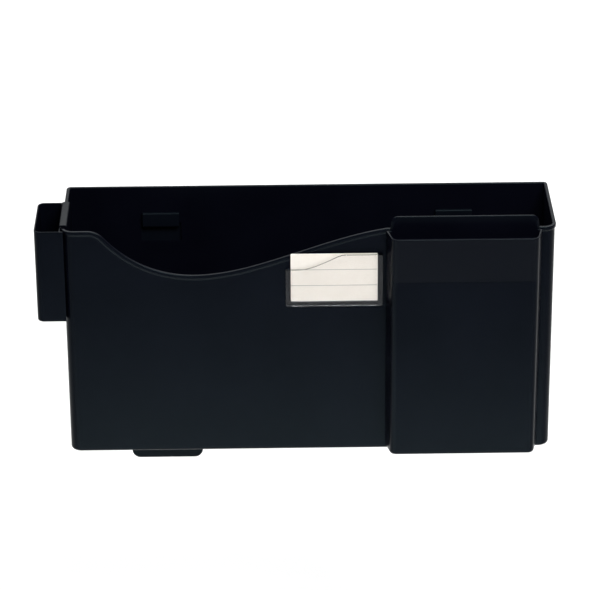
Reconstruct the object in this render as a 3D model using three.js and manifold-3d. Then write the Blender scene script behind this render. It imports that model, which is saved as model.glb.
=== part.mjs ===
// A wall-hung file pocket with a wave-cut front, a pencil cup hooked over its left wall, a supply
// pocket hooked over its front rim, a clear label holder, and two screwed-on wall hangers.
// Millimetres, +Z up. The wall is the plane Y = 0 and everything stands in front of it, at Y < 0.
// X = 0 is the middle of the file pocket and Z = 0 is the underside of its floor.

import * as THREE from 'three';
import { mergeVertices } from 'three/addons/utils/BufferGeometryUtils.js';
import Module from 'manifold-3d';

const wasm = await Module();
wasm.setup();

// ---------------------------------------------------------------- driving dimensions

const FIT = 0.3; // gap between pieces that touch
const ARC_STEPS = 6; // straight steps in a rounded corner

const POCKET = {
  width: 391,
  height: 197,
  depth: 90,
  wall: 2.2,
  frontRadius: 7.5,
  backRadius: 3,
  beadOut: 0.8,
  beadTall: 3,
};

// The wave in the front rim: X across, DROP below the rim.
const WAVE = {
  roundStartX: -175.3,
  roundCornerX: -167.7,
  slopeX: -162.7,
  slopeDrop: 5.7,
  slopeHandle: [-137, 34.9],
  lowX: -91,
  lowDrop: 39.1,
  lowHandleLeft: 17,
  lowHandleRight: 48,
  riseHandle: [8, 8.5],
  endX: 62,
  steps: 18,
};

const HANGER = {
  centreX: 120,
  width: 60,
  thick: 4,
  bottoms: { left: -55, right: -53 },
  top: 177,
  cornerRadius: 7,
  hookWidth: 30,
  hookThick: 3,
  armTop: 165,
  lipTall: 10,
  slotWidth: 34,
  slotBottom: -42,
  slotTall: 8,
};

const BACK_SLOT = { width: 33, tall: 17 }; // in the pocket's back wall, over a hanger's hook

const SCREW = {
  heights: [20, 110],
  shankRadius: 2,
  headRadius: 4.1,
  length: 30,
  tipLength: 5,
  holeRadius: 2.3,
  sinkRadius: 4.5,
  sides: 16,
};

const CUP = {
  width: 22.2, // how far it stands out from the pocket's side wall
  depth: 58.5,
  height: 79,
  wall: 1.3,
  floor: 1.6,
  radius: 5.5,
  seamRadius: 1, // on the side next to the pocket
  lip: 2.2, // the front wall reaches on in front of the pocket's rounded corner
  hookStart: 9, // behind the cup's front face
  hookInset: 2.5, // before the cup's back face
};

const CADDY = {
  leftX: 61,
  rightX: 185,
  taper: 4.6, // how far each side leans in towards the front
  depth: 20.5,
  bottom: 4,
  rimDrop: 1.2, // its front rim stands this much lower than the pocket's
  wall: 1.8,
  floor: 2,
  radius: 6,
  bandTall: 38,
  bandStep: 0.8,
  plateRise: 11.2,
  plateInsetLeft: 2.8,
  plateInsetRight: 2.2,
  plateLean: 1.5,
  plateRadius: 5.5,
  hookInset: 11,
};

const HOOK = { thick: 1.5, reach: 12 }; // over-the-rim hooks of the cup and the caddy

const HOLDER = {
  leftX: -18.7,
  rightX: 58.6,
  bottomDrop: 66.2,
  rightTopDrop: 21.4,
  leftTopDrop: 34,
  swellStartX: -5.6,
  swellEndX: 27.9,
  back: 1,
  front: 1.2,
  slot: 1,
  slotFloor: 4.2,
  radius: 1.6,
  pegRadius: 2,
  pegHeadRadius: 3,
  pegHeadThick: 1.6,
  pegXs: [-9, 50],
  pegRise: 10,
};

const CARD = { width: 69.2, height: 41.3, thick: 0.4 };

// ---------------------------------------------------------------- worked-out places

const pocketBackY = -HANGER.thick - FIT;
const pocketFrontY = pocketBackY - POCKET.depth;
const pocketInnerBackY = pocketBackY - POCKET.wall;
const pocketInnerFrontY = pocketFrontY + POCKET.wall;
const pocketSideX = POCKET.width / 2;
const rim = POCKET.height;
const clearOfBead = POCKET.beadOut + FIT;

// ---------------------------------------------------------------- materials

function plastic(hex, roughness) {
  return new THREE.MeshStandardMaterial({ color: hex, roughness, metalness: 0 });
}

const blackPlastic = plastic(0x12141b, 0.35);
const hangerPlastic = plastic(0x15171c, 0.45);
const clearPlastic = new THREE.MeshStandardMaterial({
  color: 0xe6ecf0,
  roughness: 0.08,
  metalness: 0,
  transparent: true,
  opacity: 0.35,
});
const cardPaper = plastic(0xf0ebe3, 0.9);
const zincSteel = new THREE.MeshStandardMaterial({ color: 0xb4b6b8, roughness: 0.35, metalness: 1 });

// ---------------------------------------------------------------- solids

// A manifold solid of a closed geometry.
function solid(geometry) {
  const bare = geometry.clone();
  bare.deleteAttribute('normal');
  bare.deleteAttribute('uv');
  const merged = mergeVertices(bare, 1e-4);
  return new wasm.Manifold(
    new wasm.Mesh({
      numProp: 3,
      vertProperties: Float32Array.from(merged.attributes.position.array),
      triVerts: Uint32Array.from(merged.index.array),
    }),
  );
}

// The geometry of a finished solid.
function geometryOf(body) {
  const mesh = body.getMesh();
  const geometry = new THREE.BufferGeometry();
  geometry.setAttribute('position', new THREE.BufferAttribute(Float32Array.from(mesh.vertProperties), 3));
  geometry.setIndex(new THREE.BufferAttribute(Uint32Array.from(mesh.triVerts), 1));
  geometry.computeVertexNormals();
  return geometry;
}

function block(x0, x1, y0, y1, z0, z1) {
  const geometry = new THREE.BoxGeometry(x1 - x0, y1 - y0, z1 - z0);
  return solid(geometry.translate((x0 + x1) / 2, (y0 + y1) / 2, (z0 + z1) / 2));
}

function extruded(shape, depth, steps = ARC_STEPS) {
  return new THREE.ExtrudeGeometry(shape, { depth, bevelEnabled: false, curveSegments: steps });
}

// A shape drawn in X and Y, standing from z0 to z1.
function upright(shape, z0, z1) {
  return solid(extruded(shape, z1 - z0).translate(0, 0, z0));
}

// A shape drawn in X and Z, from yBack (nearer the wall) out to yFront.
function facing(shape, yBack, yFront, steps) {
  const geometry = extruded(shape, yBack - yFront, steps);
  return solid(geometry.rotateX(Math.PI / 2).translate(0, yBack, 0));
}

// A shape drawn in Y and Z, from x0 to x1.
function sideways(shape, x0, x1) {
  const turn = new THREE.Matrix4().makeBasis(
    new THREE.Vector3(0, 1, 0),
    new THREE.Vector3(0, 0, 1),
    new THREE.Vector3(1, 0, 0),
  );
  return solid(extruded(shape, x1 - x0).applyMatrix4(turn).translate(x0, 0, 0));
}

// A solid of revolution about a line along Y through (x, z); profile points are [radius, y].
function turnedAlongY(profile, x, z, sides) {
  const points = profile.map(([radius, y]) => new THREE.Vector2(radius, y));
  return solid(new THREE.LatheGeometry(points, sides).translate(x, 0, z));
}

// A closed outline through corners [x, y, radius], going round anticlockwise.
function outline(corners) {
  const shape = new THREE.Shape();
  const count = corners.length;
  corners.forEach(([x, y, radius], i) => {
    const [px, py] = corners[(i + count - 1) % count];
    const [nx, ny] = corners[(i + 1) % count];
    const towards = (tx, ty) => {
      const length = Math.hypot(tx - x, ty - y);
      return [x + ((tx - x) / length) * radius, y + ((ty - y) / length) * radius];
    };
    const [ax, ay] = towards(px, py);
    const [bx, by] = towards(nx, ny);
    if (i === 0) {
      shape.moveTo(ax, ay);
    } else {
      shape.lineTo(ax, ay);
    }
    if (radius > 0) {
      roundCorner(shape, [ax, ay], [x, y], [bx, by]);
    }
  });
  shape.closePath();
  return shape;
}

// A near-circular corner from a to b, bulging towards corner c.
function roundCorner(shape, [ax, ay], [cx, cy], [bx, by]) {
  const pull = 0.5523;
  shape.bezierCurveTo(
    ax + (cx - ax) * pull,
    ay + (cy - ay) * pull,
    bx + (cx - bx) * pull,
    by + (cy - by) * pull,
    bx,
    by,
  );
}

// ---------------------------------------------------------------- file pocket

function pocketPlan(inset, insetBack = inset) {
  const side = pocketSideX - inset;
  const front = pocketFrontY + inset;
  const back = pocketBackY - insetBack;
  const frontRadius = POCKET.frontRadius - inset;
  const backRadius = Math.max(POCKET.backRadius - insetBack, 0.5);
  return outline([
    [-side, front, frontRadius],
    [side, front, frontRadius],
    [side, back, backRadius],
    [-side, back, backRadius],
  ]);
}

// The part of the front wall that the wave takes away, drawn in X and Z.
function waveCut() {
  const shape = new THREE.Shape();
  const above = rim + 5;
  shape.moveTo(WAVE.roundStartX, above);
  shape.lineTo(WAVE.roundStartX, rim);
  shape.quadraticCurveTo(WAVE.roundCornerX, rim, WAVE.slopeX, rim - WAVE.slopeDrop);
  shape.bezierCurveTo(
    WAVE.slopeHandle[0],
    rim - WAVE.slopeHandle[1],
    WAVE.lowX - WAVE.lowHandleLeft,
    rim - WAVE.lowDrop,
    WAVE.lowX,
    rim - WAVE.lowDrop,
  );
  shape.bezierCurveTo(
    WAVE.lowX + WAVE.lowHandleRight,
    rim - WAVE.lowDrop,
    WAVE.riseHandle[0],
    rim - WAVE.riseHandle[1],
    WAVE.endX,
    rim,
  );
  shape.lineTo(WAVE.endX, above);
  shape.closePath();
  return shape;
}

function pegCentres() {
  const z = rim - HOLDER.bottomDrop + HOLDER.pegRise;
  return HOLDER.pegXs.map((x) => [x, z]);
}

function filePocket() {
  const outside = upright(pocketPlan(0), 0, rim);
  const bead = upright(pocketPlan(-POCKET.beadOut, 0), rim - POCKET.beadTall, rim);
  const hollow = upright(pocketPlan(POCKET.wall), POCKET.wall, rim + 1);
  const cutBackY = pocketInnerFrontY + 1;
  const cutFrontY = pocketFrontY - 2 * POCKET.beadOut;
  let body = outside.add(bead).subtract(hollow);
  body = body.subtract(facing(waveCut(), cutBackY, cutFrontY, WAVE.steps));
  for (const x of [-HANGER.centreX, HANGER.centreX]) {
    const top = HANGER.armTop + FIT;
    const half = BACK_SLOT.width / 2;
    const slot = block(x - half, x + half, pocketInnerBackY - 1, pocketBackY + 1, top - BACK_SLOT.tall, top);
    body = body.subtract(slot);
  }
  for (const [x, z] of pegCentres()) {
    const radius = HOLDER.pegRadius + FIT;
    const profile = [
      [0, cutFrontY],
      [radius, cutFrontY],
      [radius, cutBackY],
      [0, cutBackY],
    ];
    body = body.subtract(turnedAlongY(profile, x, z, SCREW.sides));
  }
  return body;
}

// ---------------------------------------------------------------- wall hangers and screws

function hanger(x, bottom) {
  const half = HANGER.width / 2;
  const plate = outline([
    [x - half, bottom, HANGER.cornerRadius],
    [x + half, bottom, HANGER.cornerRadius],
    [x + half, HANGER.top, HANGER.cornerRadius],
    [x - half, HANGER.top, HANGER.cornerRadius],
  ]);
  let body = facing(plate, 0, -HANGER.thick);
  const lipBackY = pocketInnerBackY - FIT;
  const lipFrontY = lipBackY - HANGER.hookThick;
  const hook = outline([
    [-HANGER.thick + 1, HANGER.armTop - HANGER.hookThick, 0],
    [-HANGER.thick + 1, HANGER.armTop, 0],
    [lipBackY, HANGER.armTop, 0],
    [lipBackY, HANGER.armTop + HANGER.lipTall, 0.8],
    [lipFrontY, HANGER.armTop + HANGER.lipTall, 1.2],
    [lipFrontY, HANGER.armTop - HANGER.hookThick, 1.5],
  ]);
  body = body.add(sideways(hook, x - HANGER.hookWidth / 2, x + HANGER.hookWidth / 2));
  const slotHalf = HANGER.slotWidth / 2;
  const slotTop = HANGER.slotBottom + HANGER.slotTall;
  body = body.subtract(
    block(x - slotHalf, x + slotHalf, -HANGER.thick - 1, 1, HANGER.slotBottom, slotTop),
  );
  const sinkDeep = SCREW.sinkRadius - SCREW.holeRadius;
  const holeProfile = [
    [0, -HANGER.thick - 1],
    [SCREW.sinkRadius, -HANGER.thick - 1],
    [SCREW.sinkRadius, -HANGER.thick],
    [SCREW.holeRadius, -HANGER.thick + sinkDeep],
    [SCREW.holeRadius, 1],
    [0, 1],
  ];
  for (const z of SCREW.heights) {
    body = body.subtract(turnedAlongY(holeProfile, x, z, SCREW.sides));
  }
  return body;
}

function screw(x, z) {
  const headY = -HANGER.thick + FIT;
  const neckY = headY + SCREW.headRadius - SCREW.shankRadius;
  const tipY = headY + SCREW.length;
  const profile = [
    [0, headY],
    [SCREW.headRadius - FIT, headY],
    [SCREW.shankRadius, neckY - FIT],
    [SCREW.shankRadius, tipY - SCREW.tipLength],
    [0, tipY],
  ];
  return turnedAlongY(profile, x, z, SCREW.sides);
}

// ---------------------------------------------------------------- pencil cup

function cupPlan(inset) {
  const left = -pocketSideX - CUP.width + inset;
  const right = -pocketSideX - clearOfBead - inset;
  const front = pocketFrontY + inset;
  const back = pocketFrontY + CUP.depth - inset;
  const radius = CUP.radius - inset;
  const seamRadius = Math.max(CUP.seamRadius - inset, 0.4);
  return outline([
    [left, front, radius],
    [right, front, seamRadius],
    [right, back, seamRadius],
    [left, back, radius],
  ]);
}

function pencilCup() {
  const bottom = rim - CUP.height;
  const outside = upright(cupPlan(0), bottom, rim);
  const hollow = upright(cupPlan(CUP.wall), bottom + CUP.floor, rim + 1);
  const wallX = -pocketSideX - clearOfBead;
  const flangeX = -pocketSideX + POCKET.wall + FIT;
  const hook = outline([
    [wallX - CUP.wall, rim - HOOK.reach, 0],
    [wallX, rim - HOOK.reach, 0],
    [wallX, rim + FIT, 0],
    [flangeX, rim + FIT, 0],
    [flangeX, rim - HOOK.reach, 0],
    [flangeX + HOOK.thick, rim - HOOK.reach, 0.6],
    [flangeX + HOOK.thick, rim + FIT + HOOK.thick, 1.5],
    [wallX - CUP.wall, rim + FIT + HOOK.thick, 1.5],
  ]);
  const hookFrontY = pocketFrontY + CUP.hookStart;
  const hookBackY = pocketFrontY + CUP.depth - CUP.hookInset;
  const lip = block(
    wallX - CUP.wall,
    wallX + CUP.lip,
    pocketFrontY,
    pocketFrontY + CUP.wall,
    bottom,
    rim,
  );
  return outside.subtract(hollow).add(lip).add(facing(hook, hookBackY, hookFrontY));
}

// ---------------------------------------------------------------- supply pocket

const caddyBackY = pocketFrontY - clearOfBead;
const caddyFrontY = pocketFrontY - CADDY.depth;

function caddyPlan(inset, insetFront = inset) {
  const back = caddyBackY - inset;
  const front = caddyFrontY + insetFront;
  const leftBack = CADDY.leftX + inset;
  const rightBack = CADDY.rightX - inset;
  return outline([
    [leftBack + CADDY.taper, front, CADDY.radius - inset],
    [rightBack - CADDY.taper, front, CADDY.radius - inset],
    [rightBack, back, 0],
    [leftBack, back, 0],
  ]);
}

function supplyPocket() {
  const bandBottom = rim - CADDY.bandTall;
  const lower = upright(caddyPlan(0, CADDY.bandStep), CADDY.bottom, bandBottom);
  const band = upright(caddyPlan(0), bandBottom, rim - CADDY.rimDrop);
  const hollowPlan = caddyPlan(CADDY.wall, CADDY.wall + CADDY.bandStep);
  const hollow = upright(hollowPlan, CADDY.bottom + CADDY.floor, rim + 1);
  const plateLeft = CADDY.leftX + CADDY.plateInsetLeft;
  const plateRight = CADDY.rightX - CADDY.plateInsetRight;
  const plateTop = rim + CADDY.plateRise;
  const plate = outline([
    [plateLeft, rim - CADDY.bandTall, 0],
    [plateRight, rim - CADDY.bandTall, 0],
    [plateRight, rim, 0],
    [plateRight - CADDY.plateLean, plateTop, CADDY.plateRadius],
    [plateLeft + CADDY.plateLean, plateTop, CADDY.plateRadius],
    [plateLeft, rim, 0],
  ]);
  const flangeY = pocketInnerFrontY + FIT;
  const hook = outline([
    [caddyBackY - CADDY.wall / 2, rim + FIT, 0],
    [flangeY, rim + FIT, 0],
    [flangeY, rim - HOOK.reach, 0],
    [flangeY + HOOK.thick, rim - HOOK.reach, 0.6],
    [flangeY + HOOK.thick, rim + FIT + HOOK.thick, 1.5],
    [caddyBackY - CADDY.wall / 2, rim + FIT + HOOK.thick, 0],
  ]);
  const hookLeft = CADDY.leftX + CADDY.hookInset;
  const hookRight = CADDY.rightX - CADDY.hookInset;
  return lower
    .add(band)
    .subtract(hollow)
    .add(facing(plate, caddyBackY, caddyBackY - CADDY.wall))
    .add(sideways(hook, hookLeft, hookRight));
}

// ---------------------------------------------------------------- label holder and its card

const holderBackY = pocketFrontY - FIT;
const slotBackY = holderBackY - HOLDER.back;
const slotFrontY = slotBackY - HOLDER.slot;
const holderFrontY = slotFrontY - HOLDER.front;
const cardBottom = rim - HOLDER.bottomDrop + HOLDER.slotFloor + FIT;
const cardCentreX = (HOLDER.leftX + HOLDER.rightX) / 2;

// A plate whose top edge swells from a low left end to a high right end.
function holderOutline() {
  const bottom = rim - HOLDER.bottomDrop;
  const leftTop = rim - HOLDER.leftTopDrop;
  const rightTop = rim - HOLDER.rightTopDrop;
  const middleX = (HOLDER.swellStartX + HOLDER.swellEndX) / 2;
  const shape = new THREE.Shape();
  shape.moveTo(HOLDER.leftX + HOLDER.radius, bottom);
  shape.lineTo(HOLDER.rightX - HOLDER.radius, bottom);
  shape.quadraticCurveTo(HOLDER.rightX, bottom, HOLDER.rightX, bottom + HOLDER.radius);
  shape.lineTo(HOLDER.rightX, rightTop);
  shape.lineTo(HOLDER.swellEndX, rightTop);
  shape.bezierCurveTo(middleX, rightTop, middleX, leftTop, HOLDER.swellStartX, leftTop);
  shape.lineTo(HOLDER.leftX, leftTop);
  shape.lineTo(HOLDER.leftX, bottom + HOLDER.radius);
  shape.quadraticCurveTo(HOLDER.leftX, bottom, HOLDER.leftX + HOLDER.radius, bottom);
  return shape;
}

function labelHolder() {
  const half = CARD.width / 2 + FIT;
  const slot = block(
    cardCentreX - half,
    cardCentreX + half,
    slotFrontY,
    slotBackY,
    cardBottom - FIT,
    rim,
  );
  let body = facing(holderOutline(), holderBackY, holderFrontY, WAVE.steps).subtract(slot);
  const headY = pocketInnerFrontY + FIT;
  const pegProfile = [
    [0, slotBackY + FIT],
    [HOLDER.pegRadius, slotBackY + FIT],
    [HOLDER.pegRadius, headY],
    [HOLDER.pegHeadRadius, headY],
    [HOLDER.pegRadius, headY + HOLDER.pegHeadThick],
    [0, headY + HOLDER.pegHeadThick],
  ];
  for (const [x, z] of pegCentres()) {
    body = body.add(turnedAlongY(pegProfile, x, z, SCREW.sides));
  }
  return body;
}

function labelCard() {
  const middleY = (slotBackY + slotFrontY) / 2;
  return block(
    cardCentreX - CARD.width / 2,
    cardCentreX + CARD.width / 2,
    middleY - CARD.thick / 2,
    middleY + CARD.thick / 2,
    cardBottom,
    cardBottom + CARD.height,
  );
}

// ---------------------------------------------------------------- the assembly

const group = new THREE.Group();

function place(name, body, material) {
  const mesh = new THREE.Mesh(geometryOf(body), material);
  mesh.name = name;
  group.add(mesh);
}

const sides = [
  ['left', -HANGER.centreX],
  ['right', HANGER.centreX],
];
const levels = [
  ['lower', SCREW.heights[0]],
  ['upper', SCREW.heights[1]],
];

place('file_pocket', filePocket(), blackPlastic);
place('pencil_cup', pencilCup(), blackPlastic);
place('supply_pocket', supplyPocket(), blackPlastic);
place('label_holder', labelHolder(), clearPlastic);
place('label_card', labelCard(), cardPaper);
for (const [side, x] of sides) {
  place(`wall_hanger_${side}`, hanger(x, HANGER.bottoms[side]), hangerPlastic);
  for (const [level, z] of levels) {
    place(`screw_${side}_${level}`, screw(x, z), zincSteel);
  }
}

export default group;
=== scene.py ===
"""Looks of the hanging file rack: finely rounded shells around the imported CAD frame, their
materials, and a plain studio. Metres, +Z up; the wall is the plane y = 0 and the front faces -y."""

import math

import bmesh
import bpy
from mathutils import Matrix, Vector


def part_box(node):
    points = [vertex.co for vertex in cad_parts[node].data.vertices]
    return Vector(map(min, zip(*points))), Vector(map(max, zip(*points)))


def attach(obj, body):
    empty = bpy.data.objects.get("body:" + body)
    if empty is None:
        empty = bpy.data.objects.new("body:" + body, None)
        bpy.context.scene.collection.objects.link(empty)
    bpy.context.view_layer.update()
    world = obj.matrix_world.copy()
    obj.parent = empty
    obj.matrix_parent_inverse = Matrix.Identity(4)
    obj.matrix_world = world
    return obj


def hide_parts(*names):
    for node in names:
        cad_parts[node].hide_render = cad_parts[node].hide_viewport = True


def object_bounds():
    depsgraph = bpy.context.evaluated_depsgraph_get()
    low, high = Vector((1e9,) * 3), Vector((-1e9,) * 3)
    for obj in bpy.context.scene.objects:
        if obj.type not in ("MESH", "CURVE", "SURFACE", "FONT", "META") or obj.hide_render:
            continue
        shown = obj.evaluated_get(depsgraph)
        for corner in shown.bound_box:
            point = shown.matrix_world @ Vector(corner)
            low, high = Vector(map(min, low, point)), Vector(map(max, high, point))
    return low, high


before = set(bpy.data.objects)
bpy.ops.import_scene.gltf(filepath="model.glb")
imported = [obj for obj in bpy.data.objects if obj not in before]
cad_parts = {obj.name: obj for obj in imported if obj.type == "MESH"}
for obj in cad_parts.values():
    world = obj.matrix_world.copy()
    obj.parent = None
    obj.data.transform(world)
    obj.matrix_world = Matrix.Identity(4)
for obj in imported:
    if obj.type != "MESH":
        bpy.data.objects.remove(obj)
CAD_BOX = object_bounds()

MM = 0.001
FIT = 0.3 * MM  # the CAD model's gap between touching pieces

# ---------------------------------------------------------------- places taken from the CAD frame

POCKET_LOW, POCKET_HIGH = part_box("file_pocket")
CUP_LOW, CUP_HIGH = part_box("pencil_cup")
CADDY_LOW, CADDY_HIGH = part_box("supply_pocket")
HOLDER_LOW, HOLDER_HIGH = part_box("label_holder")
CARD_LOW, CARD_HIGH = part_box("label_card")

BEAD_OUT = 0.8 * MM
WALL = 2.2 * MM
RIM = POCKET_HIGH.z
BACK_Y = POCKET_HIGH.y
FRONT_Y = POCKET_LOW.y + BEAD_OUT
SIDE_X = POCKET_HIGH.x - BEAD_OUT
CLEAR_OF_BEAD = BEAD_OUT + FIT


# ---------------------------------------------------------------- camera

CAMERA = {
    "target": (-0.011, -0.060, 0.1234),
    "distance": 2.418,
    "azimuth": 0.5,
    "elevation": 25.445,
    "roll": 0.45,
    "lens": 181.95,
    "sensor": 36.0,
    "clip": (0.05, 60.0),
}


def make_camera():
    """The scene's camera, on a line through the target at the named distance and angles."""
    data = bpy.data.cameras.new("camera")
    data.lens = CAMERA["lens"]
    data.sensor_width = CAMERA["sensor"]
    camera = bpy.data.objects.new("camera", data)
    bpy.context.scene.collection.objects.link(camera)
    turn = math.radians(CAMERA["azimuth"])
    tilt = math.radians(CAMERA["elevation"])
    ahead = Vector(
        (math.sin(turn) * math.cos(tilt), math.cos(turn) * math.cos(tilt), -math.sin(tilt))
    )
    look = ahead.to_track_quat("-Z", "Y").to_matrix()
    look = look @ Matrix.Rotation(-math.radians(CAMERA["roll"]), 3, "Z")
    camera.matrix_world = Matrix.Translation(
        Vector(CAMERA["target"]) - ahead * CAMERA["distance"]
    ) @ look.to_4x4()
    data.clip_start, data.clip_end = CAMERA["clip"]
    bpy.context.scene.camera = camera


# ---------------------------------------------------------------- mesh helpers


def new_object(name, vertices, faces):
    """A linked mesh object of its own."""
    mesh = bpy.data.meshes.new(name)
    mesh.from_pydata([tuple(v) for v in vertices], [], faces)
    mesh.update()
    made = bpy.data.objects.new(name, mesh)
    bpy.context.scene.collection.objects.link(made)
    return made


def bake_modifiers(made):
    """Applies every modifier of an object to its mesh."""
    bpy.context.view_layer.update()
    graph = bpy.context.evaluated_depsgraph_get()
    mesh = bpy.data.meshes.new_from_object(made.evaluated_get(graph))
    made.modifiers.clear()
    made.data = mesh


def boolean(made, others, operation):
    """Joins or cuts an object with others, which are then removed."""
    for other in others:
        modifier = made.modifiers.new("boolean", "BOOLEAN")
        modifier.solver = "EXACT"
        modifier.operation = operation
        modifier.object = other
    bake_modifiers(made)
    for other in others:
        bpy.data.objects.remove(other)


def bevel_edges(made, width, segments=3, angle=50):
    """Rounds every edge sharper than an angle in degrees."""
    modifier = made.modifiers.new("bevel", "BEVEL")
    modifier.width = width
    modifier.segments = segments
    modifier.limit_method = "ANGLE"
    modifier.angle_limit = math.radians(angle)
    modifier.use_clamp_overlap = True
    bake_modifiers(made)


def finish_piece(made, body, nodes, material, sharp=40):
    """Smooths, dresses and hangs a piece on its CAD body in place of its CAD nodes."""
    mesh = made.data
    mesh.shade_smooth()
    mesh.set_sharp_from_angle(angle=math.radians(sharp))
    mesh.materials.clear()
    mesh.materials.append(material)
    weighted = made.modifiers.new("weighted_normals", "WEIGHTED_NORMAL")
    weighted.keep_sharp = True
    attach(made, body)
    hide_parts(*nodes)


def rounded_path(points, steps=8):
    """A polyline through points (u, v, radius), its inner points rounded to their radius."""
    path = []
    for i, (u, v, radius) in enumerate(points):
        here = Vector((u, v))
        if radius <= 0 or i in (0, len(points) - 1):
            path.append(here)
            continue
        before = (Vector(points[i - 1][:2]) - here).normalized()
        after = (Vector(points[i + 1][:2]) - here).normalized()
        path += corner_arc(here, before, after, radius, steps)
    return path


def corner_arc(corner, before, after, radius, steps):
    """Points of the arc that rounds a corner between the unit directions before and after."""
    half = before.angle(after) / 2
    reach = radius / math.tan(half)
    centre = corner + (before + after).normalized() * (radius / math.sin(half))
    start = corner + before * reach - centre
    end = corner + after * reach - centre
    sweep = start.angle_signed(end)
    arc = []
    for k in range(steps + 1):
        angle = -sweep * k / steps
        cosine, sine = math.cos(angle), math.sin(angle)
        arc.append(
            centre + Vector((start.x * cosine - start.y * sine, start.x * sine + start.y * cosine))
        )
    return arc


def closed_outline(points, steps=8):
    """A closed outline through points (u, v, radius), each rounded to its radius."""
    outline = []
    count = len(points)
    for i, (u, v, radius) in enumerate(points):
        here = Vector((u, v))
        if radius <= 0:
            outline.append(here)
            continue
        before = (Vector(points[i - 1][:2]) - here).normalized()
        after = (Vector(points[(i + 1) % count][:2]) - here).normalized()
        outline += corner_arc(here, before, after, radius, steps)
    return outline


def rounded_box(low, high, radius, steps=8):
    """The closed outline of a rectangle between two corners (u, v), rounded to radius."""
    (left, bottom), (right, top) = low, high
    corners = ((left, bottom), (right, bottom), (right, top), (left, top))
    return closed_outline([(u, v, radius) for u, v in corners], steps)


AXES = {
    "x": lambda u, v, w: (w, u, v),
    "y": lambda u, v, w: (u, w, v),
    "z": lambda u, v, w: (u, v, w),
}


def prism(name, outline, axis, low, high, bevel=0.0):
    """A closed outline swept along an axis, with its end rims rounded by bevel."""
    place = AXES[axis]
    count = len(outline)
    vertices = [place(u, v, w) for w in (low, high) for u, v in outline]
    faces = [tuple(range(count)), tuple(reversed(range(count, 2 * count)))]
    for i in range(count):
        j = (i + 1) % count
        faces.append((j, i, i + count, j + count))
    made = new_object(name, vertices, faces)
    make_outward(made)
    if bevel:
        bevel_edges(made, bevel)
    return made


def make_outward(made):
    """Turns a closed mesh's faces outward."""
    work = bmesh.new()
    work.from_mesh(made.data)
    bmesh.ops.recalc_face_normals(work, faces=work.faces)
    if work.calc_volume(signed=True) < 0:
        bmesh.ops.reverse_faces(work, faces=work.faces)
    work.to_mesh(made.data)
    work.free()


def stack_faces(rings, sides):
    """The faces of a closed stack of rings that have the same number of sides."""
    faces = []
    for i in range(rings - 1):
        for k in range(sides):
            j = (k + 1) % sides
            faces.append((i * sides + k, i * sides + j, (i + 1) * sides + j, (i + 1) * sides + k))
    faces.append(tuple(range(sides)))
    faces.append(tuple(range((rings - 1) * sides, rings * sides)))
    return faces


def lathe(name, profile, axis, centre, sides=48):
    """A profile of (radius, along) points turned about a line along an axis through centre."""
    place = AXES[axis]
    vertices = []
    for radius, along in profile:
        for k in range(sides):
            angle = 2 * math.pi * k / sides
            u = centre[0] + radius * math.cos(angle)
            v = centre[1] + radius * math.sin(angle)
            vertices.append(place(u, v, along))
    made = new_object(name, vertices, stack_faces(len(profile), sides))
    make_outward(made)
    return made


# ---------------------------------------------------------------- thin-walled open shells

LOOP = 1.5 * MM  # from a rounded edge to the ring that holds its flat neighbour flat
CLOSING = 2.0 * MM  # from a rounded foot in to the floor's last ring
SMALLEST_CORNER = 0.25 * MM


def ring(corners, insets, stations, steps):
    """One level outline of a shell, anticlockwise: every corner's arc, then the stations along the
    edge after it, as fractions of that edge's straight stretch. insets holds one inset per edge."""
    count = len(corners)
    lines = []
    for i, (x, y, _) in enumerate(corners):
        nx, ny, _ = corners[(i + 1) % count]
        along = Vector((nx - x, ny - y)).normalized()
        inward = Vector((-along.y, along.x))
        lines.append((Vector((x, y)) + inward * insets[i], along))
    arcs = []
    for i, (_, _, radius) in enumerate(corners):
        (p, d), (q, e) = lines[i - 1], lines[i]
        gap = q - p
        reach = (gap.x * e.y - gap.y * e.x) / (d.x * e.y - d.y * e.x)
        corner = p + d * reach
        inner = max(radius - (insets[i - 1] + insets[i]) / 2, SMALLEST_CORNER)
        arcs.append(corner_arc(corner, -d, e, inner, steps[i]))
    points = []
    for i in range(count):
        start, end = arcs[i][-1], arcs[(i + 1) % count][0]
        points += arcs[i]
        points += [start.lerp(end, fraction) for fraction in stations[i]]
    return points


def shell(name, corners, stations, steps, rows, rim):
    """A thin-walled vessel. rows runs from the middle of the underside, up the outside, over the
    rim and down the inside: each is (insets, "level", z) or (insets, "rim", depth below the rim).
    rim(column) gives a column's rim height and its upward normal in the wall's plane."""
    vertices = []
    rings = []
    for insets, kind, value in rows:
        level = []
        for column, p in enumerate(ring(corners, insets, stations, steps)):
            level.append(len(vertices))
            if kind == "rim":
                height, tilt = rim(column)
                vertices.append((p.x - tilt.x * value, p.y, height - tilt.y * value))
            else:
                vertices.append((p.x, p.y, value))
        rings.append(level)
    faces = []
    count = len(rings[0])
    for low, high in zip(rings, rings[1:]):
        for k in range(count):
            j = (k + 1) % count
            faces.append((low[k], low[j], high[j], high[k]))
    faces.append(tuple(reversed(rings[0])))
    faces.append(tuple(rings[-1]))
    made = new_object(name, vertices, faces)
    make_outward(made)
    return made


def quarter(radius, steps):
    """(sine, versine) pairs times radius, over a quarter turn."""
    for k in range(steps + 1):
        angle = math.pi / 2 * k / steps
        yield radius * math.sin(angle), radius * (1 - math.cos(angle))


def rim_along(line, first, level):
    """A rim that follows a line of (point, normal) pairs from a column on, and is level elsewhere."""

    def rim(column):
        i = column - first
        if 0 <= i < len(line):
            return line[i][0].y, line[i][1]
        return level, UP

    return rim


def even(inset):
    """The same inset for each of a shell's four edges."""
    return (inset,) * 4


def spread(count):
    """Evenly spread fractions between 0 and 1, without the ends."""
    return [(k + 1) / (count + 1) for k in range(count)]


UP = Vector((0.0, 1.0))

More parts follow.
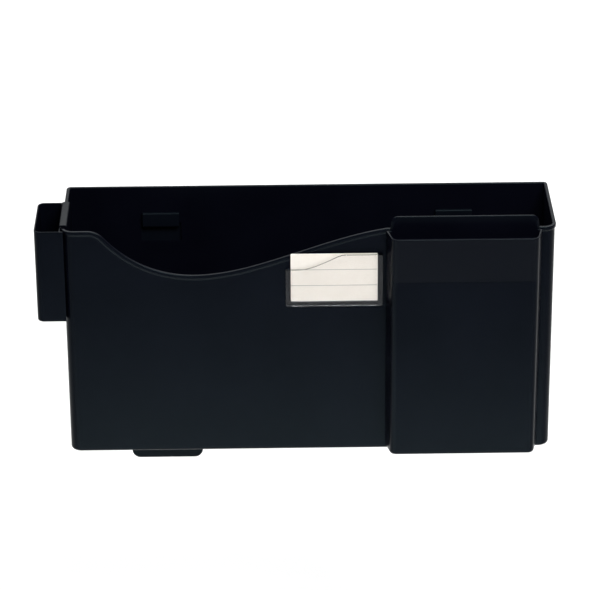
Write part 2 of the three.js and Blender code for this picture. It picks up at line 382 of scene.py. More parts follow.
# ---------------------------------------------------------------- file pocket

FRONT_RADIUS = 9.0 * MM
BACK_RADIUS = 3.0 * MM
FOOT_RADIUS = 2.6 * MM
FLOOR_FILLET = 3.0 * MM
BEAD_TALL = 3.0 * MM
BEAD_CROWN = 0.9 * MM
RIM_CROWN = 0.8 * MM
# How the bead leaves the wall: shares of its reach, and drops under its foot in millimetres.
BEAD_EASE = ((0.06, 0.75), (0.5, 0.35), (0.94, -0.1))

# The wave, in millimetres: X across and the drop below the rim.
WAVE_ROUND = ((-175.3, 0.0), (-167.7, 0.0), (-162.7, 5.7))
WAVE_FALL = ((-162.7, 5.7), (-137.0, 34.9), (-108.0, 39.1), (-91.0, 39.1))
WAVE_RISE = ((-91.0, 39.1), (-43.0, 39.1), (8.0, 8.5), (62.0, 0.0))
# The front's columns to the left and right of the wave, in millimetres from its ends.
COLUMNS_LEFT = (6, 2)
COLUMNS_RIGHT = (3, 20, 50, 90)


def bezier(points, steps):
    """Points along a Bezier curve of any degree, without the first."""
    for k in range(1, steps + 1):
        t = k / steps
        row = [Vector(p) for p in points]
        while len(row) > 1:
            row = [a.lerp(b, t) for a, b in zip(row, row[1:])]
        yield row[0]


def wave_line():
    """The wave's rim points in metres as (x, height), with an upward normal at each."""
    drops = [Vector(WAVE_ROUND[0])]
    drops += bezier(WAVE_ROUND, 10)
    drops += bezier(WAVE_FALL, 30)
    drops += bezier(WAVE_RISE, 52)
    line = [Vector((p.x * MM, RIM - p.y * MM)) for p in drops]
    found = []
    for i, p in enumerate(line):
        before = line[max(i - 1, 0)]
        after = line[min(i + 1, len(line) - 1)]
        along = (after - before).normalized()
        normal = Vector((-along.y, along.x))
        if i == 0:
            normal = UP.copy()
        found.append((p, normal))
    return found


def bead_rows(inside_clear):
    """The rim: a bead on the outside, a rounded top and a thinner inner edge."""
    rows = [(even(0.0), "rim", BEAD_TALL + 1.6 * MM)]
    rows += [(even(-BEAD_OUT * out), "rim", BEAD_TALL + drop * MM) for out, drop in BEAD_EASE]
    rows.append((even(-BEAD_OUT), "rim", BEAD_TALL - 0.6 * MM))
    for sine, versine in reversed(list(quarter(BEAD_CROWN, 5))):
        rows.append((even(-BEAD_OUT + BEAD_CROWN - sine), "rim", versine))
    return rows + inner_edge_rows(inside_clear, RIM_CROWN)


def inner_edge_rows(wall, crown):
    """From the rim's top down onto the inner face."""
    rows = []
    for sine, versine in quarter(crown, 5):
        rows.append((even(wall - crown + sine), "rim", versine))
    return rows


def rim_crown_rows(wall, crown):
    """A plain rounded rim from the outer face over to the inner face."""
    rows = [(even(0.0), "rim", crown + 1.0 * MM)]
    for sine, versine in reversed(list(quarter(crown, 5))):
        rows.append((even(crown - sine), "rim", versine))
    return rows + inner_edge_rows(wall, crown)


def foot_rows(radius, bottom):
    """From under the floor out round the foot onto the outer face."""
    rows = [(even(radius + CLOSING), "level", bottom)]
    for sine, versine in quarter(radius, 6):
        rows.append((even(radius - sine), "level", bottom + versine))
    rows.append((even(0.0), "level", bottom + radius + LOOP))
    return rows


def floor_rows(wall, fillet, floor):
    """From the inner face round the fillet onto the floor's top."""
    rows = [(even(wall), "level", floor + fillet + LOOP)]
    for sine, versine in reversed(list(quarter(fillet, 6))):
        rows.append((even(wall + fillet - sine), "level", floor + versine))
    rows.append((even(wall + fillet + CLOSING), "level", floor))
    return rows


def file_pocket():
    """The main moulding, with a column of its mesh at each point of the wave."""
    line = wave_line()
    straight = SIDE_X - FRONT_RADIUS
    wave_x = [p.x for p, _ in line]
    outer_left = [wave_x[0] - away * MM for away in COLUMNS_LEFT]
    outer_right = [wave_x[-1] + away * MM for away in COLUMNS_RIGHT]
    front_x = outer_left + wave_x + outer_right
    front = [(x + straight) / (2 * straight) for x in front_x]
    corners = [
        (-SIDE_X, FRONT_Y, FRONT_RADIUS),
        (SIDE_X, FRONT_Y, FRONT_RADIUS),
        (SIDE_X, BACK_Y, BACK_RADIUS),
        (-SIDE_X, BACK_Y, BACK_RADIUS),
    ]
    stations = [front, spread(5), spread(15), spread(5)]
    steps = (10, 10, 6, 6)
    first = steps[0] + 1 + len(outer_left)
    # The bead stops at the wall side, so that the back stays flat against the hangers.
    rows = []
    for insets, kind, value in (
        foot_rows(FOOT_RADIUS, 0.0)
        + bead_rows(WALL)
        + floor_rows(WALL, FLOOR_FILLET, WALL)
    ):
        front_in, right_in, back_in, left_in = insets
        rows.append(((front_in, right_in, max(back_in, 0.0), left_in), kind, value))
    rim = rim_along(line, first, RIM)
    made = shell("file_pocket_shell", corners, stations, steps, rows, rim)
    boolean(made, pocket_cutters(), "DIFFERENCE")
    finish_piece(made, "file_pocket", ["file_pocket"], BLACK)


HOOK_TOP = 165.0 * MM
BACK_SLOT = {"width": 33.0 * MM, "tall": 17.0 * MM, "radius": 1.5 * MM}
HANGER_X = 120.0 * MM
PEG_X = (-9.0 * MM, 50.0 * MM)
PEG_Z = 10.0 * MM
PEG_RADIUS = 2.0 * MM
PAST = 2.0 * MM  # how far a cutter reaches past the wall that it cuts


def pocket_cutters():
    """The slots over the hangers' hooks and the holes for the label holder's pegs."""
    cutters = []
    half = BACK_SLOT["width"] / 2
    top = HOOK_TOP + FIT
    bottom = top - BACK_SLOT["tall"]
    for x in (-HANGER_X, HANGER_X):
        outline = rounded_box((x - half, bottom), (x + half, top), BACK_SLOT["radius"], 4)
        cutters.append(prism("cut", outline, "y", BACK_Y - WALL - PAST, BACK_Y + PAST))
    radius = PEG_RADIUS + FIT
    profile = [(radius, FRONT_Y - PAST), (radius, FRONT_Y + WALL + PAST)]
    for x in PEG_X:
        cutters.append(lathe("cut", profile, "y", (x, HOLDER_LOW.z + PEG_Z), 24))
    return cutters


# ---------------------------------------------------------------- hooks over the rim

HOOK_THICK = 1.5 * MM
HOOK_REACH = 12.0 * MM
HOOK_BEVEL = 0.5 * MM
THIN_CROWN = 0.6 * MM  # the rounding of the thin rims of the cup and the supply pocket


def hook_outline(outer, wall, flange):
    """The section of an over-the-rim hook: u runs across the rim and v is height. outer is the
    hanging piece's face next to the rim, and flange the hook's face inside the pocket."""
    low = RIM - HOOK_REACH
    under = RIM + FIT
    top = under + HOOK_THICK
    points = [
        (outer - wall, low, 0),
        (outer, low, 0),
        (outer, under, 0.4 * MM),
        (flange, under, 0.4 * MM),
        (flange, low, 0.5 * MM),
        (flange + HOOK_THICK, low, 0.6 * MM),
        (flange + HOOK_THICK, top, 1.3 * MM),
        (outer - wall, top, 1.1 * MM),
    ]
    return closed_outline(points, 5)


# ---------------------------------------------------------------- pencil cup

CUP = {
    "wall": 1.3 * MM,
    "floor": 1.6 * MM,
    "radius": 5.5 * MM,
    "seam": 1.0 * MM,
    "foot": 1.6 * MM,
    "fillet": 1.4 * MM,
}
CUP_HOOK_START = 9.0 * MM
CUP_LIP = 2.2 * MM  # the front wall reaches on in front of the pocket's rounded corner
CUP_HOOK_INSET = 2.5 * MM


def pencil_cup():
    """The cup, the hook over the pocket's side wall, and the front wall's lip round its corner."""
    left, right = CUP_LOW.x, -SIDE_X - CLEAR_OF_BEAD
    front, back = CUP_LOW.y, CUP_HIGH.y
    corners = [
        (left, front, CUP["radius"]),
        (right, front, CUP["seam"]),
        (right, back, CUP["seam"]),
        (left, back, CUP["radius"]),
    ]
    stations = [spread(3), spread(8), spread(3), spread(8)]
    rows = (
        foot_rows(CUP["foot"], CUP_LOW.z)
        + rim_crown_rows(CUP["wall"], THIN_CROWN)
        + floor_rows(CUP["wall"], CUP["fillet"], CUP_LOW.z + CUP["floor"])
    )
    rim = rim_along((), 0, RIM)
    made = shell("pencil_cup_shell", corners, stations, (9, 6, 6, 9), rows, rim)
    wall = CUP["wall"]
    section = hook_outline(right, wall, -SIDE_X + WALL + FIT)
    hook = prism("hook", section, "y", front + CUP_HOOK_START, back - CUP_HOOK_INSET, HOOK_BEVEL)
    root = right - wall * 0.7
    tip = right + CUP_LIP
    end = closed_outline(
        [
            (root, front, 0),
            (tip, front, 0.5 * MM),
            (tip, front + wall, 0.5 * MM),
            (root, front + wall, 0),
        ],
        5,
    )
    lip = prism("lip", end, "z", CUP_LOW.z + 0.5 * MM, RIM - 0.1 * MM, 0.35 * MM)
    boolean(made, [hook, lip], "UNION")
    finish_piece(made, "pencil_cup", ["pencil_cup"], BLACK)


# ---------------------------------------------------------------- supply pocket

CADDY = {
    "taper": 4.6 * MM,
    "wall": 1.8 * MM,
    "floor": 2.0 * MM,
    "radius": 6.0 * MM,
    "foot": 2.2 * MM,
    "fillet": 1.6 * MM,
    "band": 38.0 * MM,
    "step": 0.8 * MM,
    "rim_drop": 1.2 * MM,
    "nib": 0.5 * MM,
    "hook_inset": 11.0 * MM,
}
PLATE = {
    "rise": 11.2 * MM,
    "left": 2.8 * MM,
    "right": 2.2 * MM,
    "lean": 1.5 * MM,
    "radius": 5.5 * MM,
    "shoulder": 1.2 * MM,
}
# The step under the raised band, upward: the share of it that is left, and the rise in millimetres.
BAND_STEP = ((1.0, -1.4), (1.0, 0.0), (0.15, 0.0), (0.0, 0.12), (0.0, 1.0))


def plate_line(left, right):
    """The raised back plate's top, from the right end to the left, as (x, height) and normal."""
    top = RIM + PLATE["rise"]
    rim = RIM - CADDY["rim_drop"]
    low_x = left + PLATE["left"]
    high_x = right - PLATE["right"]
    lean, shoulder = PLATE["lean"], PLATE["shoulder"]
    points = [
        (high_x + shoulder, rim, 0),
        (high_x, rim, 0.5 * MM),
        (high_x - lean, top, PLATE["radius"]),
        (low_x + lean, top, PLATE["radius"]),
        (low_x, rim, 0.5 * MM),
        (low_x - shoulder, rim, 0),
    ]
    line = rounded_path(points, 9)
    long_run = max(range(len(line) - 1), key=lambda i: (line[i + 1] - line[i]).length)
    start, end = line[long_run], line[long_run + 1]
    extra = [start.lerp(end, fraction) for fraction in spread(9)]
    line = line[: long_run + 1] + extra + line[long_run + 1 :]
    found = []
    for i, p in enumerate(line):
        along = (line[max(i - 1, 0)] - line[min(i + 1, len(line) - 1)]).normalized()
        normal = Vector((-along.y, along.x))
        found.append((p, UP.copy() if i in (0, len(line) - 1) else normal))
    return found


def caddy_rows():
    """The supply pocket's rows, whose front edge alone steps out at the raised band."""
    wall, step, foot, fillet = (CADDY[key] for key in ("wall", "step", "foot", "fillet"))
    bottom = CADDY_LOW.z
    floor = bottom + CADDY["floor"]
    band = RIM - CADDY["band"]
    crown = THIN_CROWN
    rows = []

    def add(inset, extra, kind, value):
        rows.append(((inset + extra, inset, inset, inset), kind, value))

    add(foot + CLOSING, step, "level", bottom)
    for sine, versine in quarter(foot, 6):
        add(foot - sine, step, "level", bottom + versine)
    add(0.0, step, "level", bottom + foot + LOOP)
    for part, rise in BAND_STEP:
        add(0.0, step * part, "level", band + rise * MM)
    add(0.0, 0.0, "rim", crown + 0.5 * MM)
    for sine, versine in reversed(list(quarter(crown, 5))):
        add(crown - sine, 0.0, "rim", versine)
    for sine, versine in quarter(crown, 5):
        add(wall - crown + sine, step, "rim", versine)
    add(wall, step, "level", floor + fillet + LOOP)
    for sine, versine in reversed(list(quarter(fillet, 5))):
        add(wall + fillet - sine, step, "level", floor + versine)
    add(wall + fillet + LOOP, step, "level", floor)
    return rows


def supply_pocket():
    """The shallow pocket, its raised back plate and the hook over the file pocket's rim."""
    left, right = CADDY_LOW.x, CADDY_HIGH.x
    front = CADDY_LOW.y
    back = FRONT_Y - CLEAR_OF_BEAD
    line = plate_line(left, right)
    nib = CADDY["nib"]
    corners = [
        (left + CADDY["taper"], front, CADDY["radius"]),
        (right - CADDY["taper"], front, CADDY["radius"]),
        (right, back, nib),
        (left, back, nib),
    ]
    ends = (right - nib, left + nib)
    plate = [(ends[0] - p.x) / (ends[0] - ends[1]) for p, _ in line]
    stations = [spread(11), spread(3), plate, spread(3)]
    steps = (9, 9, 3, 3)
    first = sum(steps[:3]) + 3 + len(stations[0]) + len(stations[1])
    rim = rim_along(line, first, RIM - CADDY["rim_drop"])
    made = shell("supply_pocket_shell", corners, stations, steps, caddy_rows(), rim)
    section = hook_outline(back, CADDY["wall"], FRONT_Y + WALL + FIT)
    inset = CADDY["hook_inset"]
    hook = prism("hook", section, "x", left + inset, right - inset, HOOK_BEVEL)
    boolean(made, [hook], "UNION")
    finish_piece(made, "supply_pocket", ["supply_pocket"], BLACK)


# ---------------------------------------------------------------- label holder and card

HOLDER = {
    "left_top": 34.0 * MM,
    "right_top": 21.4 * MM,
    "swell_start": -7.4 * MM,
    "swell_end": 27.9 * MM,
    "crest_pull": 0.14,
    "foot_pull": 0.34,
    "back": 1.0 * MM,
    "slot": 1.0 * MM,
    "slot_radius": 0.8 * MM,
    "radius": 1.6 * MM,
    "bevel": 0.15 * MM,
}
CARD_RADIUS = 0.8 * MM
CARD_BEVEL = 0.08 * MM


def holder_outline():
    """The holder seen from the front, with the swell of its top edge from right to left."""
    left, right, bottom = HOLDER_LOW.x, HOLDER_HIGH.x, HOLDER_LOW.z
    low, high = RIM - HOLDER["left_top"], RIM - HOLDER["right_top"]
    start, end = HOLDER["swell_start"], HOLDER["swell_end"]
    span = end - start
    radius = HOLDER["radius"]
    points = [(left, bottom, radius), (right, bottom, radius), (right, high, radius)]
    points.append((end, high, 0))
    crest = (end - HOLDER["crest_pull"] * span, high)
    foot = (start + HOLDER["foot_pull"] * span, low)
    swell = bezier(((end, high), crest, foot, (start, low)), 20)
    points += [(p.x, p.y, 0) for p in swell]
    points.append((left, low, radius))
    return closed_outline(points, 6)


def label_holder():
    """The clear sleeve, open at the top, and the two pegs that snap into the pocket's wall."""
    front = HOLDER_LOW.y
    back = FRONT_Y - FIT
    made = prism("label_holder_clear", holder_outline(), "y", front, back, HOLDER["bevel"])
    slot_back = back - HOLDER["back"]
    slot_front = slot_back - HOLDER["slot"]
    low_x, high_x = CARD_LOW.x - FIT, CARD_HIGH.x + FIT
    low_z = CARD_LOW.z - FIT
    radius = HOLDER["slot_radius"]
    slot = [(low_x, low_z, radius), (high_x, low_z, radius), (high_x, RIM, 0), (low_x, RIM, 0)]
    cutter = prism("cut", closed_outline(slot, 4), "y", slot_front, slot_back)
    boolean(made, [cutter], "DIFFERENCE")
    head = FRONT_Y + WALL + FIT
    end = HOLDER_HIGH.y
    profile = [
        (PEG_RADIUS, slot_back + FIT),
        (PEG_RADIUS, head),
        (PEG_RADIUS * 1.5, head + 0.05 * MM),
        (PEG_RADIUS * 1.47, head + 0.4 * MM),
        (PEG_RADIUS * 1.1, end - 0.25 * MM),
        (PEG_RADIUS * 0.9, end),
    ]
    pegs = [lathe("peg", profile, "y", (x, HOLDER_LOW.z + PEG_Z), 32) for x in PEG_X]
    boolean(made, pegs, "UNION")
    finish_piece(made, "file_pocket", ["label_holder"], CLEAR)


def label_card():
    """The paper insert."""
    low, high = (CARD_LOW.x, CARD_LOW.z), (CARD_HIGH.x, CARD_HIGH.z)
    outline = rounded_box(low, high, CARD_RADIUS, 4)
    made = prism("label_card_ruled", outline, "y", CARD_LOW.y, CARD_HIGH.y, CARD_BEVEL)
    finish_piece(made, "label_card", ["label_card"], CARD)


# ---------------------------------------------------------------- hangers and screws

HANGER = {
    "radius": 7.0 * MM,
    "thick": 4.0 * MM,
    "hook_width": 30.0 * MM,
    "hook_thick": 3.0 * MM,
    "lip": 10.0 * MM,
    "slot_width": 34.0 * MM,
    "slot_bottom": -42.0 * MM,
    "slot_tall": 8.0 * MM,
    "slot_radius": 2.0 * MM,
    "bevel": 0.7 * MM,
    "hook_bevel": 0.6 * MM,
}
SCREW = {
    "heights": (20.0 * MM, 110.0 * MM),
    "hole": 2.3 * MM,
    "sink": 4.5 * MM,
    "shank": 2.0 * MM,
    "root": 1.45 * MM,
    "pitch": 1.6 * MM,
    "tip": 6.0 * MM,
    "rings_per_pitch": 7,
    "plain": 2.2 * MM,
    "recess": 1.1 * MM,
    "recess_half": 0.42 * MM,
    "recess_arm": 0.62,  # of the head's radius
    "flank": 3.2,  # steepness of the thread's sides
    "sides": 32,
}


def hanger(side):
    """A wall strap: the hook that the file pocket hangs on, two screw holes and a lower slot."""
    low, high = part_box(f"wall_hanger_{side}")
    x = (low.x + high.x) / 2
    outline = rounded_box((low.x, low.z), (high.x, high.z), HANGER["radius"])
    thick = HANGER["thick"]
    made = prism(f"wall_hanger_{side}_strap", outline, "y", -thick, 0.0, HANGER["bevel"])
    lip_back = BACK_Y - WALL - FIT
    arm_low = HOOK_TOP - HANGER["hook_thick"]
    lip_top = HOOK_TOP + HANGER["lip"]
    hook = closed_outline(
        [
            (1 * MM - thick, arm_low, 0),
            (1 * MM - thick, HOOK_TOP, 0),
            (lip_back, HOOK_TOP, 0.4 * MM),
            (lip_back, lip_top, 0.8 * MM),
            (low.y, lip_top, 1.4 * MM),
            (low.y, arm_low, 1.8 * MM),
        ],
        5,
    )
    half = HANGER["hook_width"] / 2
    boolean(made, [prism("hook", hook, "x", x - half, x + half, HANGER["hook_bevel"])], "UNION")
    half = HANGER["slot_width"] / 2
    bottom = HANGER["slot_bottom"]
    top = bottom + HANGER["slot_tall"]
    slot = rounded_box((x - half, bottom), (x + half, top), HANGER["slot_radius"], 5)
    cutters = [prism("cut", slot, "y", -thick - MM, MM)]
    depth = SCREW["sink"] - SCREW["hole"]
    profile = [
        (SCREW["sink"] + 0.2 * MM, -thick - MM),
        (SCREW["sink"] + 0.2 * MM, -thick - 0.01 * MM),
        (SCREW["sink"], -thick + 0.2 * MM),
        (SCREW["hole"], -thick + depth),
        (SCREW["hole"], MM),
    ]
    cutters += [lathe("cut", profile, "y", (x, z)) for z in SCREW["heights"]]
    boolean(made, cutters, "DIFFERENCE")
    finish_piece(made, "wall_hangers", [f"wall_hanger_{side}"], HANGER_BLACK)


def cross_outline(x, z, arm, half):
    """A cross about (x, z), as one notch for each quarter turn."""
    notch = [(-arm, -half), (-half, -half), (-half, -arm)]
    outline = []
    for _ in range(4):
        outline += [Vector((x + u, z + v)) for u, v in notch]
        notch = [(-v, u) for u, v in notch]
    return outline


def thread_radius(angle, y, shrink):
    """The screw's radius at an angle and a place along it, between the thread's root and crest."""
    phase = (y / SCREW["pitch"] - angle / (2 * math.pi)) % 1.0
    crest = max(0.0, 1 - abs(phase - 0.5) * SCREW["flank"])
    return shrink * (SCREW["root"] + (SCREW["shank"] - SCREW["root"]) * crest)


def screw(side, level):
    """A countersunk screw with a cut thread and a cross recess."""
    node = f"screw_{side}_{level}"
    low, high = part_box(node)
    x, z = (low.x + high.x) / 2, (low.z + high.z) / 2
    head = (high.x - low.x) / 2
    shank = SCREW["shank"]
    neck = low.y + head - shank
    thread_start = neck + SCREW["plain"]
    sides = SCREW["sides"]
    angles = [2 * math.pi * k / sides for k in range(sides)]
    rings = [
        ([head * 0.55] * sides, low.y),
        ([head * 0.93] * sides, low.y),
        ([head] * sides, low.y + 0.15 * MM),
        ([shank] * sides, neck + 0.1 * MM),
        ([shank] * sides, thread_start - 0.4 * MM),
    ]
    y = thread_start
    while y < high.y - 0.3 * MM:
        shrink = min(1.0, max(0.0, (high.y - y) / SCREW["tip"]))
        rings.append(([thread_radius(angle, y, shrink) for angle in angles], y))
        y += SCREW["pitch"] / SCREW["rings_per_pitch"]
    rings.append(([0.05 * MM] * sides, high.y))
    vertices = []
    for radii, y in rings:
        for radius, angle in zip(radii, angles):
            vertices.append((x + radius * math.cos(angle), y, z + radius * math.sin(angle)))
    made = new_object(f"{node}_thread", vertices, stack_faces(len(rings), sides))
    make_outward(made)
    outline = cross_outline(x, z, head * SCREW["recess_arm"], SCREW["recess_half"])
    recess = prism("cut", outline, "y", low.y - MM, low.y + SCREW["recess"])
    boolean(made, [recess], "DIFFERENCE")
    finish_piece(made, "wall_hangers", [node], ZINC, sharp=30)


# ---------------------------------------------------------------- materials

BLACK_TONES = ((0.0017, 0.002, 0.0048), (0.0026, 0.003, 0.0066))
HANGER_TONES = ((0.002, 0.0032, 0.006), (0.0034, 0.0046, 0.008))
PLASTIC_GLOSS = 0.08
PLASTIC_TINT = (0.66, 0.96, 1.0, 1.0)
DUST_TONE = (0.12, 0.12, 0.125)
# painted sheen: the raised band's lighter tone stands in for the brighter reflection of its face
BAND_SHEEN_TONE = (0.0048, 0.0052, 0.0082)
WORN_TONE = (0.02, 0.0215, 0.024)
PAPER_TONES = ((0.86, 0.805, 0.73), (0.91, 0.87, 0.805))
INK_TONE = (0.22, 0.24, 0.22)
CLEAR_TONE = (0.9, 0.91, 0.93, 1.0)
SHADOW_TONE = (0.86, 0.84, 0.81, 1.0)
ZINC_TONES = ((0.48, 0.49, 0.51), (0.68, 0.68, 0.67))
RULED_LINES = (1 / 3, 2 / 3)  # their heights, as shares of the card's


class Nodes:
    """A small builder for one node material."""

    def __init__(self, name):
        self.material = bpy.data.materials.new(name)
        self.material.use_nodes = True
        self.tree = self.material.node_tree
        self.shader = self.tree.nodes["Principled BSDF"]
        self.place = self.tree.nodes.new("ShaderNodeTexCoord").outputs["Object"]

    def put(self, socket, value):
        """Links an input to another node's output, or sets its value."""
        if isinstance(value, bpy.types.NodeSocket):
            self.tree.links.new(value, socket)
        else:
            socket.default_value = value

    def add(self, kind, inputs=(), **settings):
        """A node of a kind, with its settings and inputs."""
        node = self.tree.nodes.new(kind)
        for key, value in settings.items():
            setattr(node, key, value)
        for key, value in dict(inputs).items():
            self.put(node.inputs[key], value)
        return node

    def apart(self):
        """The place on the piece, as its X, Y and Z."""
        return self.add("ShaderNodeSeparateXYZ", {0: self.place}).outputs

    def noise(self, scale, detail=3.0, rough=0.5, stretch=None):
        """Noise fixed to the piece, if asked with its coordinates scaled by stretch."""
        vector = self.place
        if stretch:
            vector = self.add("ShaderNodeMapping", {"Vector": vector, "Scale": stretch}).outputs[0]
        settings = {"Vector": vector, "Scale": scale, "Detail": detail, "Roughness": rough}
        return self.add("ShaderNodeTexNoise", settings).outputs["Fac"]

    def ramp(self, factor, low, high, to_low, to_high):
        """A value that runs from to_low to to_high while factor runs from low to high."""
        settings = {0: factor, 1: low, 2: high, 3: to_low, 4: to_high}
        return self.add("ShaderNodeMapRange", settings, clamp=True).outputs[0]

    def math(self, operation, a, b):
        """One operation on two values."""
        return self.add("ShaderNodeMath", {0: a, 1: b}, operation=operation).outputs[0]

    def mix(self, factor, a, b):
        """A colour between two, each the output of a node or red, green and blue."""
        node = self.add("ShaderNodeMix", {"Factor": factor}, data_type="RGBA")
        for socket, value in ((node.inputs[6], a), (node.inputs[7], b)):
            self.put(socket, value if isinstance(value, bpy.types.NodeSocket) else (*value, 1.0))
        return node.outputs[2]

    def bump(self, height, distance, strength=1.0, normal=None):
        """A normal tilted by a height, on top of another one if given."""
        inputs = {"Height": height, "Distance": distance, "Strength": strength}
        if normal is not None:
            inputs["Normal"] = normal
        return self.add("ShaderNodeBump", inputs).outputs[0]

    def feed(self, **sockets):
        """Sets or links the shader's inputs, named with _ for each space."""
        for name, value in sockets.items():
            self.put(self.shader.inputs[name.replace("_", " ")], value)


def moulded_plastic(name, dark, light, rough, grain, sheen_on_band=False):
    """Injection-moulded plastic: faint flow clouding, dust, worn rims, a fine grain and slow surface
    waviness. Its flag for the supply pocket's raised band paints that band a little lighter: a painted
    sheen standing in for the brighter reflection of the band's face."""
    nodes = Nodes(name)
    clouds = nodes.ramp(nodes.noise(14.0, 4.0, 0.55), 0.35, 0.65, 0.0, 1.0)
    flow = nodes.noise(40.0, 3.0, 0.5)
    colour = nodes.mix(clouds, dark, light)
    dust = nodes.ramp(nodes.noise(900.0, 2.0, 0.7), 0.68, 0.8, 0.0, 0.06)
    colour = nodes.mix(dust, colour, DUST_TONE)
    # painted sheen: the raised band is mixed lighter in place of its brighter reflection
    if sheen_on_band:
        colour = nodes.mix(painted_band_sheen_mask(nodes), colour, BAND_SHEEN_TONE)
    colour = nodes.mix(rim_wear(nodes), colour, WORN_TONE)
    smudges = nodes.ramp(flow, 0.2, 0.8, rough - 0.008, rough + 0.01)
    fine = nodes.noise(2600.0, 2.0, 0.6)
    slow = nodes.noise(22.0, 2.0, 0.4)
    normal = nodes.bump(slow, 0.12 * MM, 0.4)
    normal = nodes.bump(fine, 0.02 * MM, grain, normal)
    nodes.feed(Base_Color=colour, Roughness=smudges, Normal=normal)
    nodes.feed(Specular_IOR_Level=PLASTIC_GLOSS, Specular_Tint=PLASTIC_TINT)
    return nodes.material


def rim_wear(nodes):
    """Patchy rubbing where hands and folders touch the rims, but not on the supply pocket's plate,
    which stands in front of them."""
    _, depth, height = nodes.apart()
    rising = nodes.ramp(height, RIM - 0.6 * MM, RIM - 0.1 * MM, 0.0, 0.3)
    ending = nodes.ramp(height, RIM + 1.6 * MM, RIM + 2.0 * MM, 1.0, 0.0)
    behind = nodes.ramp(depth, FRONT_Y - 1.2 * MM, FRONT_Y - 0.9 * MM, 0.0, 1.0)
    patches = nodes.ramp(nodes.noise(260.0, 3.0, 0.6), 0.45, 0.7, 0.15, 1.0)
    band = nodes.math("MULTIPLY", rising, ending)
    return nodes.math("MULTIPLY", band, nodes.math("MULTIPLY", behind, patches))


def painted_band_sheen_mask(nodes):
    """1 on the outer face of the supply pocket's raised band, 0 elsewhere: where the band's painted
    sheen goes.
    """
    _, depth, height = nodes.apart()
    bottom = RIM - CADDY["band"]
    above = nodes.ramp(height, bottom, bottom + 0.2 * MM, 0.0, 1.0)
    ahead = CADDY_LOW.y + 1.2 * MM
    return nodes.math("MULTIPLY", above, nodes.ramp(depth, ahead - 0.5 * MM, ahead, 1.0, 0.0))


def clear_plastic():
    """Clear plastic with fine scuffs. Its shadow is only a light tint, so the card behind stays lit."""
    nodes = Nodes("clear_plastic")
    ripple = nodes.noise(180.0, 2.0, 0.5)
    scuffs = nodes.ramp(nodes.noise(700.0, 3.0, 0.7, (1.0, 1.0, 0.2)), 0.55, 0.75, 0.03, 0.14)
    nodes.feed(
        Base_Color=CLEAR_TONE,
        Roughness=scuffs,
        Normal=nodes.bump(ripple, 0.1 * MM, 0.25),
        Transmission_Weight=1.0,
        IOR=1.49,
    )
    lamps = nodes.add("ShaderNodeBsdfTransparent", {"Color": SHADOW_TONE})
    shadow = nodes.add("ShaderNodeLightPath").outputs["Is Shadow Ray"]
    shaders = {0: shadow, 1: nodes.shader.outputs[0], 2: lamps.outputs[0]}
    mix = nodes.add("ShaderNodeMixShader", shaders)
    output = nodes.tree.nodes["Material Output"]
    nodes.tree.links.new(mix.outputs[0], output.inputs["Surface"])
    return nodes.material


def ruled_card():
    """Ivory card with fibre texture and two thin ruled lines."""
    nodes = Nodes("ruled_card")
    height = nodes.apart()[2]
    drawn = []
    for share in RULED_LINES:
        level = CARD_LOW.z + (CARD_HIGH.z - CARD_LOW.z) * share
        away = nodes.math("ABSOLUTE", nodes.math("SUBTRACT", height, level), 0.0)
        drawn.append(nodes.ramp(away, 0.16 * MM, 0.3 * MM, 1.0, 0.0))
    lines = nodes.math("MAXIMUM", *drawn)
    mottle = nodes.noise(240.0, 4.0, 0.6)
    paper = nodes.mix(mottle, *PAPER_TONES)
    ink = nodes.ramp(nodes.noise(3000.0, 2.0, 0.6), 0.3, 0.7, 0.7, 1.0)
    colour = nodes.mix(nodes.math("MULTIPLY", lines, ink), paper, INK_TONE)
    fibres = nodes.noise(2200.0, 4.0, 0.7, (1.0, 1.0, 0.35))
    nodes.feed(Base_Color=colour, Roughness=0.85, Normal=nodes.bump(fibres, 0.03 * MM, 0.5))
    nodes.feed(Specular_IOR_Level=0.3)
    return nodes.material


def zinc():
    """Zinc-plated steel with a fine spangle."""
    nodes = Nodes("zinc_plated_steel")
    spangle = nodes.noise(400.0, 3.0, 0.6)
    colour = nodes.mix(spangle, *ZINC_TONES)
    rough = nodes.ramp(nodes.noise(900.0, 3.0, 0.6), 0.3, 0.7, 0.24, 0.42)
    nodes.feed(Base_Color=colour, Roughness=rough, Normal=nodes.bump(spangle, 0.03 * MM, 0.3))
    nodes.feed(Metallic=1.0)
    return nodes.material


# ---------------------------------------------------------------- studio

FLOOR_DROP = 0.25  # below the rack, which hangs on a wall
FLOOR_REACH = 9.0
FLOOR_TONES = ((0.96, 0.96, 0.96), (0.985, 0.985, 0.985))
WHITE = (1.0, 1.0, 1.0, 1.0)
WORLD_LIGHT = 0.15  # on the scene; the camera itself sees plain white behind it
# Each area light: its place, what it points at, its size, power in watts and spread in degrees.
LIGHTS = {
    "key": ((0.35, -1.0, 1.25), (0.0, -0.05, 0.1), (0.9, 0.6), 3.5, 70),
    "pool": ((0.0, -0.55, 0.35), (0.0, -0.551, 0.0), (1.2, 0.2), 3.5, 60),
    "rear": ((0.0, 1.6, 1.6), (0.0, 1.599, 0.0), (3.4, 3.0), 86.0, 180),
}


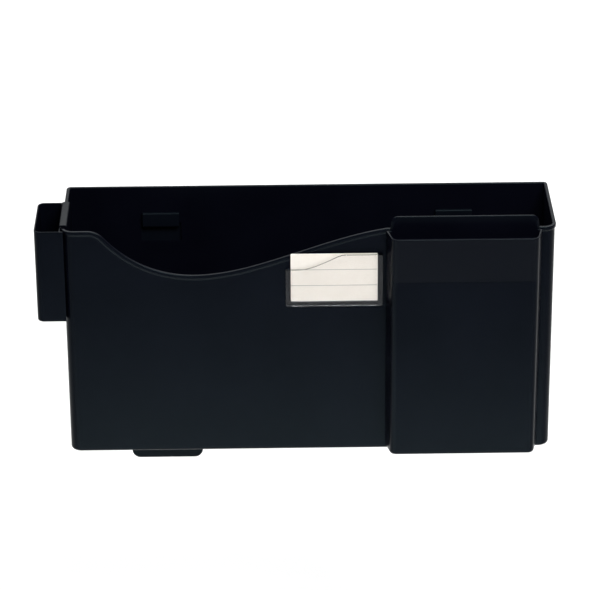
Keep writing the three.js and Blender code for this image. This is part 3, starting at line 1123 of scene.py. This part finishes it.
def floor():
    """A plain pale floor a little way under the rack."""
    height = CAD_BOX[0].z - FLOOR_DROP
    corners = ((-1, -1), (1, -1), (1, 1), (-1, 1))
    vertices = [(x * FLOOR_REACH, y * FLOOR_REACH, height) for x, y in corners]
    made = new_object("floor", vertices, [(0, 1, 2, 3)])
    nodes = Nodes("studio_floor")
    tone = nodes.mix(nodes.noise(6.0, 2.0, 0.5), *FLOOR_TONES)
    nodes.feed(Base_Color=tone, Roughness=0.9, Specular_IOR_Level=0.1)
    made.data.materials.append(nodes.material)


def area_light(name, place, aim, size, power, beam):
    """A rectangular light at place that points at aim."""
    data = bpy.data.lights.new(name, "AREA")
    data.shape = "RECTANGLE"
    data.size, data.size_y = size
    data.energy = power
    data.spread = math.radians(beam)
    made = bpy.data.objects.new(name, data)
    bpy.context.scene.collection.objects.link(made)
    made.location = place
    direction = Vector(aim) - Vector(place)
    made.rotation_euler = direction.to_track_quat("-Z", "Y").to_euler()


def studio():
    """The floor, the lights and a world that the camera sees as plain white."""
    floor()
    world = bpy.data.worlds.new("world")
    bpy.context.scene.world = world
    world.use_nodes = True
    tree = world.node_tree
    back = tree.nodes["Background"]
    back.inputs["Color"].default_value = WHITE
    back.inputs["Strength"].default_value = WORLD_LIGHT
    seen = tree.nodes.new("ShaderNodeBackground")
    seen.inputs["Color"].default_value = WHITE
    seen.inputs["Strength"].default_value = 1.0
    path = tree.nodes.new("ShaderNodeLightPath")
    mix = tree.nodes.new("ShaderNodeMixShader")
    tree.links.new(path.outputs["Is Camera Ray"], mix.inputs[0])
    tree.links.new(back.outputs[0], mix.inputs[1])
    tree.links.new(seen.outputs[0], mix.inputs[2])
    tree.links.new(mix.outputs[0], tree.nodes["World Output"].inputs["Surface"])
    for name, settings in LIGHTS.items():
        area_light(name, *settings)
    view = bpy.context.scene.view_settings
    view.view_transform = "Standard"
    view.look = "None"


# ---------------------------------------------------------------- the scene

make_camera()

# the pockets' plastic, with the painted sheen on the supply pocket's raised band
BLACK = moulded_plastic("black_plastic", *BLACK_TONES, 0.26, 0.25, sheen_on_band=True)
HANGER_BLACK = moulded_plastic("hanger_plastic", *HANGER_TONES, 0.42, 0.6)
CLEAR = clear_plastic()
CARD = ruled_card()
ZINC = zinc()

file_pocket()
pencil_cup()
supply_pocket()
label_holder()
label_card()
for side in ("left", "right"):
    hanger(side)
    for level in ("lower", "upper"):
        screw(side, level)
studio()
